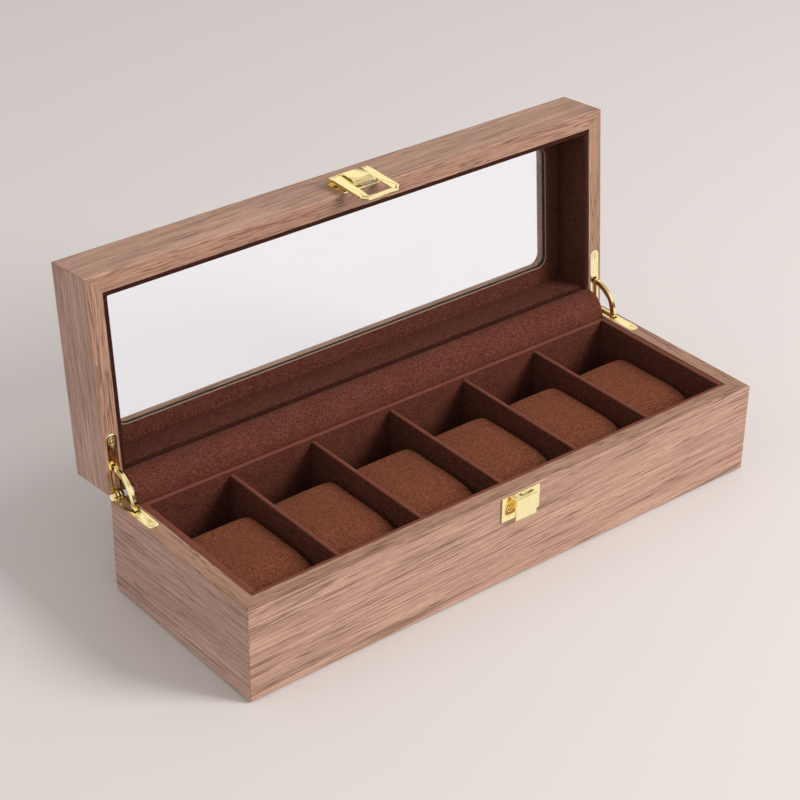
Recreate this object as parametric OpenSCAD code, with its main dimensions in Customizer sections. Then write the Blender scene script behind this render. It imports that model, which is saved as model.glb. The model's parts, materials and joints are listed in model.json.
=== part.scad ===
// Six-slot watch box: a mitred wooden base and a hinged lid with a glass window,
// suede-covered linings, dividers and pillows, quadrant hinges and a hasp clasp.
// Millimetres, +X along the box, +Y to the back, +Z up, origin under the middle of the base.
// The box is drawn with its lid open against the stays.

/* [Box] */
// Length of the box, left to right
box_w = 320; // [280:5:380]
// Depth of the box, front to back
box_d = 112; // [106:1:130]
// Height of the base, from the table to its rim
base_h = 51; // [47:1:65]
// Height of the lid, from its rim to its top
lid_h = 29; // [27:1:40]
// Thickness of the wooden walls
wall_t = 9; // [8.6:0.2:11]
// Rounding of the outer wooden edges
edge_r = 1; // [0.5:0.1:2]
// Gap between the two rims when the lid is shut
rim_gap = 0.3; // [0.2:0.1:0.5]

/* [Base inside] */
// Thickness of the bottom panel
bottom_t = 5; // [3:0.5:7]
// Thickness of the felt under the base
felt_t = 0.6; // [0.4:0.1:1.5]
// Bare edge left around the felt
felt_inset = 1.5; // [1:0.5:6]
// Thickness of the covered board on the floor
floor_t = 1.5; // [1:0.5:3]
// Thickness of the covered boards along the walls
liner_t = 2.8; // [2:0.1:3]
// Extra thickness of the left end liner, which takes up the lining's slack
end_extra = 1.4; // [0:0.1:2]
// How far the front and end liners stop below the rim
liner_drop = 0.5; // [0.3:0.1:3]
// How far the back liner stops below the rim, where the hinge cloth goes in
back_liner_drop = 1; // [0.8:0.1:2]
// Thickness of the dividers
divider_t = 2.5; // [2:0.1:4]
// How far the dividers stop below the rim
divider_drop = 3.3; // [1:0.1:9]
// Rounding of the wrapped edges of liners and dividers
wrap_r = 0.8; // [0.4:0.1:0.9]

/* [Pillows] */
// Length of a pillow, front to back
pillow_l = 60; // [50:1:72]
// How far the pillows stop below the rim
pillow_drop = 11; // [6:0.5:18]
// Gap at each side of a pillow
pillow_gap = 1; // [0.5:0.1:2.5]
// Gap between the front liner and a pillow
pillow_front_gap = 10; // [2:0.5:12]
// Corner radius of a pillow seen from above
pillow_corner_r = 6; // [4:0.5:12]
// Rounding along the top edges of a pillow
pillow_edge_r = 2.5; // [1.5:0.5:6]

/* [Lid window] */
// Thickness of the lid's top panel
top_t = 4; // [3:0.5:5]
// Width of the wood around the window
window_border = 20.8; // [18:0.2:26]
// Corner radius of the window
window_r = 6; // [2:0.5:12]
// Thickness of the glass
glass_t = 2; // [1.5:0.1:2.5]
// How far the glass reaches past the window on each side
glass_lap = 5; // [3:0.5:7]
// Thickness of the covered frame under the glass
frame_t = 1.5; // [1:0.1:3]
// How far the front and end lid liners stop short of the rim
lid_liner_drop = 0.7; // [0.5:0.1:3]
// How far the back lid liner stops short of the rim
lid_back_drop = 2.7; // [2.3:0.1:4]

/* [Hinges] */
// Angle at which the stays stop the lid
open_angle = 94.7; // [85:0.1:98]
// Distance of the hinge axis behind the box
hinge_back = 1.3; // [1.1:0.1:1.6]
// Height of the hinge axis above the base rim
hinge_up = 0.6; // [0.5:0.1:0.8]
// Length of a leaf, from the hinge axis to its round end
leaf_l = 33.3; // [28:0.5:40]
// Width of a leaf
leaf_w = 5.8; // [5:0.1:6.4]
// Thickness of a leaf
leaf_t = 1.5; // [1.2:0.1:1.8]
// Radius of the hinge barrel
barrel_r = 2.1; // [1.9:0.1:2.3]
// Radius of the hinge pin
hinge_pin_r = 0.8; // [0.6:0.1:1]
// Width of the slot in a leaf
slot_w = 3.2; // [3:0.1:3.6]
// Thickness of the curved stay
stay_t = 1.8; // [1.4:0.1:2.2]
// Middle radius of the curved stay
stay_r = 15.1; // [14:0.1:17]
// Width of the stay's bow
stay_w = 3; // [2.6:0.1:3.6]
// Radius of the pegs that stop the stay
peg_r = 1.2; // [1:0.1:1.3]
// Thickness of the hinge cloth
cloth_t = 0.6; // [0.4:0.1:1]

/* [Clasp] */
// Width of the hasp and the two plates
clasp_w = 24; // [22:0.5:30]
// Thickness of the clasp's sheet metal
sheet_t = 0.8; // [0.6:0.1:0.9]
// Distance of the clasp's pin from the lid's face
clasp_pin_out = 3.5; // [3.4:0.1:4]
// Height of the clasp's pin above the lid's rim
clasp_pin_up = 12.3; // [11.5:0.1:14]
// Radius of the clasp's pin
clasp_pin_r = 0.6; // [0.4:0.1:0.7]
// Radius of the hasp's curled knuckle
knuckle_r = 1.5; // [1.4:0.1:1.6]
// Width of the hasp's raised middle
block_w = 12; // [10:0.5:13]
// Width of the spring tongue under the raised middle
tongue_w = 8; // [5:0.5:9]
// How far the tongue reaches over the hasp's window
tongue_l = 5.8; // [2:0.2:7]
// Thickness of the tongue
tongue_t = 0.5; // [0.3:0.1:0.6]
// Depth of the bar at the hasp's free end
bar_l = 2.2; // [1.8:0.1:4]
// Depth of the turned-down rim around the hasp
hasp_lip = 0.5; // [0.2:0.1:0.6]
// How far the hasp leans towards the box from upright
hasp_lean = 7; // [5:0.5:8]
// Height of the plate on the base
keeper_h = 13.5; // [13:0.5:16]
// How far that plate stops below the rim
keeper_drop = 0.6; // [0.4:0.1:1.5]
// Width of the keeper's hook
hook_w = 13.3; // [11:0.1:14]
// How far the hook stands out from the base
hook_out = 4.9; // [4.6:0.1:5.4]
// Height of the hook's hanging flap
hook_h = 12.5; // [10:0.5:12.5]

/* [Hidden] */
$fn = 48;

// Colours
walnut = [0.72, 0.55, 0.45];
suede = [0.36, 0.19, 0.14];
pillow_suede = [0.45, 0.25, 0.17];
brass = [0.93, 0.82, 0.52];
spring_metal = [0.9, 0.88, 0.8];
clear_glass = [0.9, 0.92, 0.95, 0.4];
black_felt = [0.12, 0.1, 0.1];

// Clearances
fit = 0.1;          // between pieces that are let into each other
pin_gap = 0.05;     // around a pin in its bore
swing_gap = 0.3;    // between pieces that swing past each other
over = 1;           // how far a cutting shape runs past what it cuts
tiny = 0.01;        // overlap of shapes that meet face to face

// Levels of the base
wood_low = felt_t;
floor_low = wood_low + bottom_t;
floor_top = floor_low + floor_t;
inner_w = box_w - 2 * wall_t;
inner_d = box_d - 2 * wall_t;
slots = 6;
slots_left = -inner_w / 2 + fit + liner_t + end_extra;
slots_right = inner_w / 2 - fit - liner_t;
pitch = (slots_right - slots_left + divider_t) / slots;

// Levels of the lid, as it lies shut
lid_low = base_h + rim_gap;
lid_top = lid_low + lid_h;
panel_low = lid_top - top_t;
frame_low = panel_low - glass_t - frame_t;
window_w = box_w - 2 * window_border;
window_d = box_d - 2 * window_border;
glass_r = 2;                            // corner radius of the glass

// Hinges
axis_y = box_d / 2 + hinge_back;
axis_z = base_h + hinge_up;
cloth_r = hinge_back + wall_t + cloth_t + swing_gap;
cloth_gap = 0.05;                       // between the cloth's ends and the boards they touch
leaf_shift = 0.3;                       // of a leaf from the middle of its wall, inwards
leaf_x = box_w / 2 - wall_t / 2 - leaf_shift;
third = leaf_w / 6;                     // half the width of the middle knuckle
slot_spare = 10;                        // free length of a slot between the stay and the axis
slot_play = 0.8;                        // and beyond the stay
slot_near = stay_r - stay_w / 2 - slot_spare;
slot_far = stay_r + stay_w / 2 + slot_play;
leaf_screw_in = 0.7;                    // of a leaf's screw from the middle of its round end
leaf_screw_y = leaf_l - leaf_w / 2 - leaf_screw_in;
screw_head_r = 1.9;
screw_shank_r = 0.9;
screw_head_h = 1;
screw_l = 8;
// Angle below the rim at which a peg lies under its leaf
base_peg_a = asin((hinge_up + leaf_t + swing_gap + peg_r) / stay_r);
lid_peg_a = asin((rim_gap - hinge_up + leaf_t + swing_gap + peg_r) / stay_r);
peg_reach = 0.8;                        // of a peg past each side of its slot
peg_l = slot_w + 2 * peg_reach;
pocket_w = peg_l + 2 * swing_gap;
notch_r = barrel_r + swing_gap + fit;   // of the room for the barrel in the rim
pocket_spare = 9;                       // angle kept free past the end of the stay's travel
pocket_a = open_angle / 2 + pocket_spare;

// Clasp
pin_y = -box_d / 2 - clasp_pin_out;
pin_z = lid_low + clasp_pin_up;
hook_top = base_h - keeper_drop;
hook_extra = 0.1;                       // by which the hook is thicker than the plates
hook_t = sheet_t + hook_extra;
hook_play = 0.4;                        // above the hook in the hasp's window
window_near = pin_z - hook_top - hook_play;
window_far = pin_z - hook_top + hook_h + swing_gap;
hasp_l = window_far + bar_l;
ramp_l = 2.4;                           // slope in front of the raised middle
tongue_n = hook_out - clasp_pin_out + swing_gap;
hollow_near = knuckle_r + sheet_t;      // from the pin to the room under the raised middle
knuckle_step = 0.15;                    // by which the plate's knuckles are smaller
plate_knuckle_r = knuckle_r - knuckle_step;
plate_corner_r = 1;
keeper_corner_r = 0.7;
small_head_r = 1.9;
small_head_h = 0.7;
small_screw_l = 6;
plate_screw_in = 3;                     // of a screw from the end of the lid's plate
plate_screw_x = clasp_w / 2 - plate_screw_in;
keeper_screw_out = 0.5;                 // of a screw from the side of the hook
keeper_screw_x = hook_w / 2 + keeper_screw_out;

// ---------------------------------------------------------------- shared shapes

// Rectangle with round corners, centred
module round_rect(w, d, r) {
    square([w - 2 * r, d], center = true);
    square([w, d - 2 * r], center = true);
    for (x = [-1, 1], y = [-1, 1])
        translate([x * (w / 2 - r), y * (d / 2 - r)]) circle(r);
}

// Extrudes an outline of (forward, up) sideways, centred on x = 0
module across(t) {
    rotate([90, 0, -90]) linear_extrude(t, center = true) children();
}

// Extrudes an outline of (x, up) forwards from y = 0
module forward(t) {
    rotate([90, 0, 0]) linear_extrude(t) children();
}

// Outline of a bow about the origin, from angle a to angle b
module bow(r_in, r_out, a, b) {
    reach = 3 * r_out;
    mid = (a + b) / 2;
    intersection() {
        difference() {
            circle(r_out);
            circle(r_in);
        }
        polygon([[0, 0], reach * [cos(a), sin(a)], reach * [cos(mid), sin(mid)], reach * [cos(b), sin(b)]]);
    }
}

// Outline of a covered board's section, t thick and h high, with its top edges wrapped round
module wrapped_section(t, h) {
    translate([-t / 2, 0]) square([t, h - wrap_r]);
    translate([-t / 2 + wrap_r, 0]) square([t - 2 * wrap_r, h]);
    for (s = [-1, 1])
        translate([s * (t / 2 - wrap_r), h - wrap_r]) circle(wrap_r);
}

// Countersunk screw with its head flush at z = 0, pointing down
module screw(head_r, head_h, length) {
    recess_w = head_r * 0.28;
    recess_l = head_r * 1.3;
    difference() {
        union() {
            translate([0, 0, -head_h]) cylinder(head_h, screw_shank_r, head_r);
            translate([0, 0, -length]) cylinder(length, screw_shank_r, screw_shank_r);
        }
        for (a = [0, 90])
            rotate(a) cube([recess_l, recess_w, head_h], center = true);
    }
}

// Hole that such a screw goes into
module screw_hole(head_r, head_h, length) {
    translate([0, 0, -head_h]) cylinder(head_h + tiny, screw_shank_r + pin_gap, head_r + pin_gap);
    translate([0, 0, -length]) cylinder(length, screw_shank_r + pin_gap, screw_shank_r + pin_gap);
}

// Turns what is drawn on the shut lid to where the open lid is
module lid_pose() {
    translate([0, axis_y, axis_z])
        rotate([-open_angle, 0, 0])
            translate([0, -axis_y, -axis_z]) children();
}

// Puts hinge parts on both ends of the box
module at_hinge(side) {
    mirror([side < 0 ? 1 : 0, 0, 0]) translate([leaf_x, axis_y, axis_z]) children();
}

// ---------------------------------------------------------------- wood

// Block of wood with rounded edges, as large as the box, from z_low up
module wood_block(z_low, h) {
    translate([0, 0, z_low + h / 2]) intersection() {
        linear_extrude(h, center = true) round_rect(box_w, box_d, edge_r);
        rotate([90, 0, 0]) linear_extrude(box_d, center = true) round_rect(box_w, h, edge_r);
        rotate([90, 0, 90]) linear_extrude(box_w, center = true) round_rect(box_d, h, edge_r);
    }
}

// Plan of the mitred wall that runs along the front
module long_mitre() {
    x_out = box_w / 2 + over;
    y_out = box_d / 2 + over;
    polygon([[-x_out, -y_out], [x_out, -y_out],
        [inner_w / 2, -inner_d / 2], [-inner_w / 2, -inner_d / 2]]);
}

// Plan of the mitred wall at the right-hand end
module end_mitre() {
    x_out = box_w / 2 + over;
    y_out = box_d / 2 + over;
    polygon([[x_out, -y_out], [x_out, y_out],
        [inner_w / 2, inner_d / 2], [inner_w / 2, -inner_d / 2]]);
}

// One mitred wall of the block from z_low up; side is front, back, left or right
module wall(side, z_low, h) {
    intersection() {
        wood_block(z_low, h);
        translate([0, 0, z_low - over]) linear_extrude(h + 2 * over) {
            if (side == "front") long_mitre();
            if (side == "back") mirror([0, 1]) long_mitre();
            if (side == "right") end_mitre();
            if (side == "left") mirror([1, 0]) end_mitre();
        }
    }
}

// Plan of a hinge leaf, grown all round by a little; its axis is at y = 0
module leaf_plan(grow) {
    w = leaf_w + 2 * grow;
    end_y = -leaf_l + leaf_w / 2;
    translate([-w / 2, end_y]) square([w, -end_y]);
    translate([0, end_y]) circle(w / 2);
}

// What a hinge cuts from the wood at the rim, in the hinge's own place.
// low and high are the leaf's faces measured from the axis; up is 1 for the lid, -1 for the base.
module hinge_room(low, high, peg_a, up) {
    seat = up > 0 ? low - over : low;
    translate([0, 0, seat]) linear_extrude(high - low + over) leaf_plan(fit);
    rotate([0, 90, 0]) cylinder(leaf_w + 2 * swing_gap, notch_r, notch_r, center = true);
    across(pocket_w)
        bow(stay_r - stay_w / 2 - swing_gap, stay_r + stay_w / 2 + swing_gap,
            up > 0 ? 0 : -peg_a - pocket_a, up > 0 ? peg_a + pocket_a : 0);
    translate([0, -leaf_screw_y, 0]) mirror([0, 0, up > 0 ? 1 : 0])
        translate([0, 0, -screw_l - over])
            cylinder(screw_l + over, screw_shank_r + pin_gap, screw_shank_r + pin_gap);
}

module base_hinge_room() {
    hinge_room(-hinge_up - leaf_t, -hinge_up, base_peg_a, -1);
}

module lid_hinge_room() {
    hinge_room(rim_gap - hinge_up, rim_gap - hinge_up + leaf_t, lid_peg_a, 1);
}

module base_wall(side) {
    color(walnut) difference() {
        wall(side, wood_low, base_h - wood_low);
        if (side != "front")
            for (s = [-1, 1])
                if (side == "back" || (side == "right") == (s > 0)) at_hinge(s) base_hinge_room();
        if (side == "front")
            for (s = [-1, 1])
                translate([s * keeper_screw_x, -box_d / 2, hook_top - keeper_h / 2])
                    rotate([90, 0, 0]) translate([0, 0, -small_screw_l - over])
                        cylinder(small_screw_l + 2 * over, screw_shank_r + pin_gap, screw_shank_r + pin_gap);
    }
}

module lid_wall(side) {
    color(walnut) lid_pose() difference() {
        wall(side, lid_low, lid_h);
        panel_wedge();
        if (side != "front")
            for (s = [-1, 1])
                if (side == "back" || (side == "right") == (s > 0)) at_hinge(s) lid_hinge_room();
        if (side == "front")
            for (s = [-1, 1])
                translate([s * plate_screw_x, -box_d / 2, lid_low + clasp_pin_up / 2])
                    rotate([90, 0, 0]) translate([0, 0, -small_screw_l - over])
                        cylinder(small_screw_l + 2 * over, screw_shank_r + pin_gap, screw_shank_r + pin_gap);
    }
}

// The lid's top panel before its window is cut: its edges are mitred into the walls
module panel_wedge() {
    module section(w) {
        polygon([[-w / 2 - over, lid_top + over], [w / 2 + over, lid_top + over],
            [w / 2 - top_t, panel_low], [-w / 2 + top_t, panel_low]]);
    }
    intersection() {
        rotate([90, 0, 0]) linear_extrude(box_d + 4 * over, center = true) section(box_w);
        rotate([90, 0, 90]) linear_extrude(box_w + 4 * over, center = true) section(box_d);
    }
}

module lid_top_panel() {
    color(walnut) lid_pose() difference() {
        intersection() {
            panel_wedge();
            wood_block(lid_low, lid_h);
        }
        translate([0, 0, panel_low - over]) linear_extrude(top_t + 2 * over)
            round_rect(window_w, window_d, window_r);
    }
}

module base_bottom_panel() {
    color(walnut) translate([0, 0, wood_low + bottom_t / 2])
        cube([inner_w - 2 * fit, inner_d - 2 * fit, bottom_t], center = true);
}

module base_felt() {
    felt_r = edge_r + 1;
    color(black_felt) linear_extrude(felt_t)
        round_rect(box_w - 2 * felt_inset, box_d - 2 * felt_inset, felt_r);
}

// ---------------------------------------------------------------- base lining

module liner_floor() {
    color(suede) translate([0, 0, floor_low + floor_t / 2])
        cube([inner_w - 2 * fit, inner_d - 2 * fit, floor_t], center = true);
}

// Board along the front (s = -1) or the back (s = 1) of the base
module long_liner(s, drop) {
    color(suede) translate([0, s * (inner_d / 2 - fit - liner_t / 2), floor_top])
        across(inner_w - 2 * fit) wrapped_section(liner_t, base_h - drop - floor_top);
}

// Board at the left (s = -1) or right (s = 1) end of the base, between the long ones
module end_liner(s) {
    t = s < 0 ? liner_t + end_extra : liner_t;
    color(suede) translate([s * (inner_w / 2 - fit - t / 2), 0, floor_top])
        rotate([90, 0, 0]) linear_extrude(inner_d - 2 * liner_t - 4 * fit, center = true)
            wrapped_section(t, base_h - liner_drop - floor_top);
}

// Divider number i, counted from the left
module divider(i) {
    color(suede) translate([slots_left + i * pitch - divider_t / 2, 0, floor_top])
        rotate([90, 0, 0]) linear_extrude(inner_d - 2 * liner_t - 4 * fit, center = true)
            wrapped_section(divider_t, base_h - divider_drop - floor_top);
}

// Pillow number i, counted from the left
module pillow(i) {
    w = pitch - divider_t - 2 * pillow_gap;
    h = base_h - pillow_drop - floor_top - swing_gap;
    y_mid = -inner_d / 2 + fit + liner_t + pillow_front_gap + pillow_l / 2;
    // Outline of a side with round top corners
    module arch(l, r) {
        translate([-l / 2, -h / 2]) square([l, h - r]);
        translate([-l / 2 + r, -h / 2]) square([l - 2 * r, h]);
        for (s = [-1, 1]) translate([s * (l / 2 - r), h / 2 - r]) circle(r);
    }
    x_mid = slots_left + i * pitch - divider_t - (pitch - divider_t) / 2;
    color(pillow_suede) translate([x_mid, y_mid, floor_top + swing_gap + h / 2])
        intersection() {
            linear_extrude(h, center = true) round_rect(w, pillow_l, pillow_corner_r);
            rotate([90, 0, 0]) linear_extrude(pillow_l, center = true) arch(w, pillow_edge_r);
            rotate([90, 0, 90]) linear_extrude(w, center = true) arch(pillow_l, pillow_edge_r);
        }
}

// ---------------------------------------------------------------- lid lining

module lid_glass() {
    color(clear_glass) lid_pose() translate([0, 0, panel_low - glass_t]) linear_extrude(glass_t)
        round_rect(window_w + 2 * glass_lap, window_d + 2 * glass_lap, glass_r);
}

module lid_window_frame() {
    color(suede) lid_pose() difference() {
        translate([0, 0, (frame_low + panel_low) / 2])
            cube([inner_w - 2 * fit, inner_d - 2 * fit, panel_low - frame_low], center = true);
        translate([0, 0, panel_low - glass_t]) linear_extrude(glass_t + over)
            round_rect(window_w + 2 * glass_lap + 2 * fit, window_d + 2 * glass_lap + 2 * fit, glass_r);
        translate([0, 0, frame_low - over]) linear_extrude(frame_t + glass_t + 2 * over)
            round_rect(window_w, window_d, window_r);
    }
}

// Board along the front (s = -1) or the back (s = 1) of the lid
module lid_long_liner(s, drop) {
    color(suede) lid_pose() translate([0, s * (inner_d / 2 - fit - liner_t / 2), frame_low])
        mirror([0, 0, 1]) across(inner_w - 2 * fit) wrapped_section(liner_t, frame_low - lid_low - drop);
}

// Board at the left (s = -1) or right (s = 1) end of the lid
module lid_end_liner(s) {
    color(suede) lid_pose() translate([s * (inner_w / 2 - fit - liner_t / 2), 0, frame_low])
        mirror([0, 0, 1]) rotate([90, 0, 0])
            linear_extrude(inner_d - 2 * liner_t - 4 * fit, center = true)
                wrapped_section(liner_t, frame_low - lid_low - lid_liner_drop);
}

// Strip of cloth that covers the gap behind the linings, bowed about the hinge axis
module hinge_cloth() {
    low_a = -asin((hinge_up + back_liner_drop - cloth_gap) / cloth_r);
    high_a = open_angle + asin((rim_gap - hinge_up + lid_back_drop - cloth_gap) / cloth_r);
    color(suede) translate([0, axis_y, axis_z])
        across(inner_w - 2 * liner_t - 2 * swing_gap)
            bow(cloth_r - cloth_t, cloth_r, low_a, high_a);
}

// ---------------------------------------------------------------- quadrant hinges

// Half of a barrel: the middle knuckle, or the two outer ones
module knuckles(middle, r) {
    rotate([0, 90, 0]) {
        if (middle) cylinder(2 * third, r, r, center = true);
        else for (s = [-1, 1])
            translate([0, 0, s * (leaf_w / 2 + third + fit) / 2])
                cylinder(leaf_w / 2 - third - fit, r, r, center = true);
    }
}

// Leaf between the levels low and high above the axis, with a slot for the stay
module leaf(low, high, middle) {
    difference() {
        union() {
            difference() {
                translate([0, 0, low]) linear_extrude(high - low) leaf_plan(0);
                // room for the other leaf's knuckles
                rotate([0, 90, 0]) {
                    if (middle) for (s = [-1, 1])
                        translate([0, 0, s * (third + leaf_w / 2)])
                            cylinder(leaf_w, barrel_r + swing_gap, barrel_r + swing_gap, center = true);
                    else cylinder(2 * third + 2 * fit, barrel_r + swing_gap, barrel_r + swing_gap,
                        center = true);
                }
            }
            knuckles(middle, barrel_r);
        }
        rotate([0, 90, 0])
            cylinder(leaf_w + 2 * over, hinge_pin_r + pin_gap, hinge_pin_r + pin_gap, center = true);
        translate([0, -(slot_near + slot_far) / 2, (low + high) / 2])
            linear_extrude(high - low + 2 * over, center = true)
                round_rect(slot_w, slot_far - slot_near, slot_w / 4);
        translate([0, -leaf_screw_y, middle ? low : high]) mirror([0, 0, middle ? 1 : 0])
            screw_hole(screw_head_r, screw_head_h, screw_l);
    }
}

module hinge_base_leaf(s) {
    color(brass) at_hinge(s) leaf(-hinge_up - leaf_t, -hinge_up, false);
}

module hinge_lid_leaf(s) {
    color(brass) lid_pose() at_hinge(s) leaf(rim_gap - hinge_up, rim_gap - hinge_up + leaf_t, true);
}

module hinge_pin(s) {
    color(brass) at_hinge(s) rotate([0, 90, 0])
        cylinder(leaf_w + 2 * fit, hinge_pin_r, hinge_pin_r, center = true);
}

module hinge_base_screws() {
    color(brass) for (s = [-1, 1])
        at_hinge(s) translate([0, -leaf_screw_y, -hinge_up]) screw(screw_head_r, screw_head_h, screw_l);
}

module hinge_lid_screws() {
    color(brass) lid_pose() for (s = [-1, 1])
        at_hinge(s) translate([0, -leaf_screw_y, rim_gap - hinge_up]) mirror([0, 0, 1])
            screw(screw_head_r, screw_head_h, screw_l);
}

// Curved stay that slides in both leaves; its pegs stop under them when the lid is open
module stay(s) {
    low_a = -base_peg_a;
    high_a = open_angle + lid_peg_a;
    color(brass) at_hinge(s) {
        across(stay_t) {
            bow(stay_r - stay_w / 2, stay_r + stay_w / 2, low_a, high_a);
            for (a = [low_a, high_a])
                translate(stay_r * [cos(a), sin(a)]) circle(stay_w / 2);
        }
        across(peg_l) for (a = [low_a, high_a])
            translate(stay_r * [cos(a), sin(a)]) circle(peg_r);
    }
}

// ---------------------------------------------------------------- clasp

// Outline of a sheet that runs forward and then bends down
module bent_sheet(out, down, t) {
    bend = 1.2;
    module corner(x, y, r) {
        translate([-over, -y]) square([x - r + over, y]);
        translate([-over, -y]) square([x + over, y - r]);
        translate([x - r, -r]) circle(r);
    }
    difference() {
        translate([over, 0]) intersection() {
            translate([-over, 0]) corner(out, down, bend);
            translate([-over, -down]) square([out + over, down]);
        }
        translate([0, -t]) corner(out - t, down + over, bend - t);
    }
}

module keeper() {
    dimple_r = 2.2;
    dimple_depth = 0.6;
    color(brass) translate([0, -box_d / 2, 0]) difference() {
        union() {
            translate([0, 0, hook_top - keeper_h / 2]) forward(sheet_t)
                round_rect(clasp_w, keeper_h, keeper_corner_r);
            translate([0, 0, hook_top]) across(hook_w) bent_sheet(hook_out, hook_h, hook_t);
        }
        // dimple in the hook's top
        translate([0, -hook_out * 0.47, hook_top + dimple_r - dimple_depth]) sphere(dimple_r);
        for (s = [-1, 1])
            translate([s * keeper_screw_x, -sheet_t, hook_top - keeper_h / 2]) rotate([90, 0, 0])
                screw_hole(small_head_r, small_head_h, small_screw_l);
    }
}

module keeper_screws() {
    color(brass) for (s = [-1, 1])
        translate([s * keeper_screw_x, -box_d / 2 - sheet_t, hook_top - keeper_h / 2]) rotate([90, 0, 0])
            screw(small_head_r, small_head_h, small_screw_l);
}

// Plate on the lid, with the two outer knuckles of the clasp's hinge
module clasp_plate() {
    knuckle_w = (clasp_w - block_w) / 2 - swing_gap;
    plate_h = clasp_pin_up + plate_knuckle_r - fit;
    color(brass) lid_pose() difference() {
        union() {
            translate([0, -box_d / 2, lid_low + fit + plate_h / 2]) forward(sheet_t)
                round_rect(clasp_w, plate_h, plate_corner_r);
            for (s = [-1, 1])
                translate([s * (clasp_w - knuckle_w) / 2, -box_d / 2, pin_z]) across(knuckle_w) {
                    translate([clasp_pin_out, 0]) circle(plate_knuckle_r);
                    translate([0, plate_knuckle_r - sheet_t]) square([clasp_pin_out, sheet_t]);
                }
        }
        translate([0, pin_y, pin_z]) rotate([0, 90, 0])
            cylinder(clasp_w + 2 * over, clasp_pin_r + pin_gap, clasp_pin_r + pin_gap, center = true);
        for (s = [-1, 1])
            translate([s * plate_screw_x, -box_d / 2 - sheet_t, lid_low + clasp_pin_up / 2])
                rotate([90, 0, 0]) screw_hole(small_head_r, small_head_h, small_screw_l);
    }
}

module clasp_screws() {
    color(brass) lid_pose() for (s = [-1, 1])
        translate([s * plate_screw_x, -box_d / 2 - sheet_t, lid_low + clasp_pin_up / 2]) rotate([90, 0, 0])
            screw(small_head_r, small_head_h, small_screw_l);
}

module clasp_pin() {
    color(brass) lid_pose() translate([0, pin_y, pin_z]) rotate([0, 90, 0])
        cylinder(clasp_w + 2 * fit, clasp_pin_r, clasp_pin_r, center = true);
}

// Puts what hangs from the clasp's pin in its place; forward is away from the box
module at_clasp_pin() {
    lid_pose() translate([0, pin_y, pin_z]) rotate([hasp_lean, 0, 0]) children();
}

module hasp() {
    window_w = hook_w + 2 * swing_gap;
    window_h = window_far - window_near;
    under = knuckle_r - sheet_t;
    flange_near = knuckle_r + fit;
    chamfer = 3;
    slot_in = 2.4;
    slot_l = 3.4;
    slot_t = 0.9;
    rise = 0.6;
    housing = tongue_n + tongue_t;
    // Outline of the flat flap, seen from the front
    module flap() {
        polygon([[-clasp_w / 2, -flange_near], [clasp_w / 2, -flange_near],
            [clasp_w / 2, -hasp_l + chamfer], [clasp_w / 2 - chamfer, -hasp_l],
            [-clasp_w / 2 + chamfer, -hasp_l], [-clasp_w / 2, -hasp_l + chamfer]]);
    }
    // Room under the raised middle, w wide, down to the distance far from the pin
    module hollow(w, far) {
        translate([0, over, -(hollow_near + far) / 2]) forward(housing + over)
            square([w, far - hollow_near], center = true);
    }
    color(brass) at_clasp_pin() difference() {
        union() {
            // flat flap
            translate([0, -under, 0]) forward(sheet_t) flap();
            // turned-down rim, open at the corners
            translate([0, -under + hasp_lip, 0]) forward(hasp_lip) {
                for (s = [-1, 1])
                    translate([s * (clasp_w / 2 - sheet_t / 2) - sheet_t / 2, -hasp_l + chamfer])
                        square([sheet_t, hasp_l - chamfer - flange_near]);
                translate([-clasp_w / 2 + chamfer, -hasp_l]) square([clasp_w - 2 * chamfer, sheet_t]);
            }
            // knuckle and the raised middle
            across(block_w) {
                circle(knuckle_r);
                polygon([[0, 0], [knuckle_r, 0], [housing + sheet_t, -knuckle_r - rise],
                    [housing + sheet_t, -window_near + ramp_l],
                    [knuckle_r, -window_near], [under, -window_near], [under, -knuckle_r]]);
            }
        }
        // window for the keeper's hook
        translate([0, over, -window_near - window_h / 2]) forward(under + sheet_t + over + tiny)
            square([window_w, window_h], center = true);
        hollow(block_w - 2 * sheet_t, window_near - ramp_l);
        hollow(tongue_w + 4 * fit, window_near + over);
        // slots beside the cut corners
        for (s = [-1, 1])
            translate([s * (clasp_w / 2 - slot_in), over, -hasp_l + slot_in]) forward(knuckle_r + 2 * over)
                rotate(s * 45) round_rect(slot_l, slot_t, slot_t / 2 - tiny);
        rotate([0, 90, 0])
            cylinder(clasp_w + over, clasp_pin_r + pin_gap, clasp_pin_r + pin_gap, center = true);
    }
}

// Tongue of spring metal that reaches out from under the raised middle
module hasp_spring() {
    near = hollow_near + fit;
    far = window_near + tongue_l;
    kick = 0.5;      // by which the free end turns up
    kick_l = 1.2;
    color(spring_metal) at_clasp_pin() across(tongue_w)
        polygon([[tongue_n, -near], [tongue_n + tongue_t, -near], [tongue_n + tongue_t, -far + kick_l],
            [tongue_n + tongue_t + kick, -far], [tongue_n + kick + fit, -far],
            [tongue_n, -far + kick_l + 2 * fit]]);
}

base_wall("front");  // base_front_wall
base_wall("back");  // base_back_wall
base_wall("left");  // base_left_wall
base_wall("right");  // base_right_wall
base_bottom_panel();
base_felt();
long_liner(-1, liner_drop);  // liner_front
long_liner(1, back_liner_drop);  // liner_back
end_liner(-1);  // liner_left
end_liner(1);  // liner_right
liner_floor();
divider(1);  // divider_1
divider(2);  // divider_2
divider(3);  // divider_3
divider(4);  // divider_4
divider(5);  // divider_5
hinge_base_leaf(-1);  // hinge_base_leaf_left
hinge_base_leaf(1);  // hinge_base_leaf_right
hinge_pin(-1);  // hinge_pin_left
hinge_pin(1);  // hinge_pin_right
hinge_base_screws();
keeper();
keeper_screws();
hinge_cloth();
lid_wall("front");  // lid_front_wall
lid_wall("back");  // lid_back_wall
lid_wall("left");  // lid_left_wall
lid_wall("right");  // lid_right_wall
lid_top_panel();
lid_glass();
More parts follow.
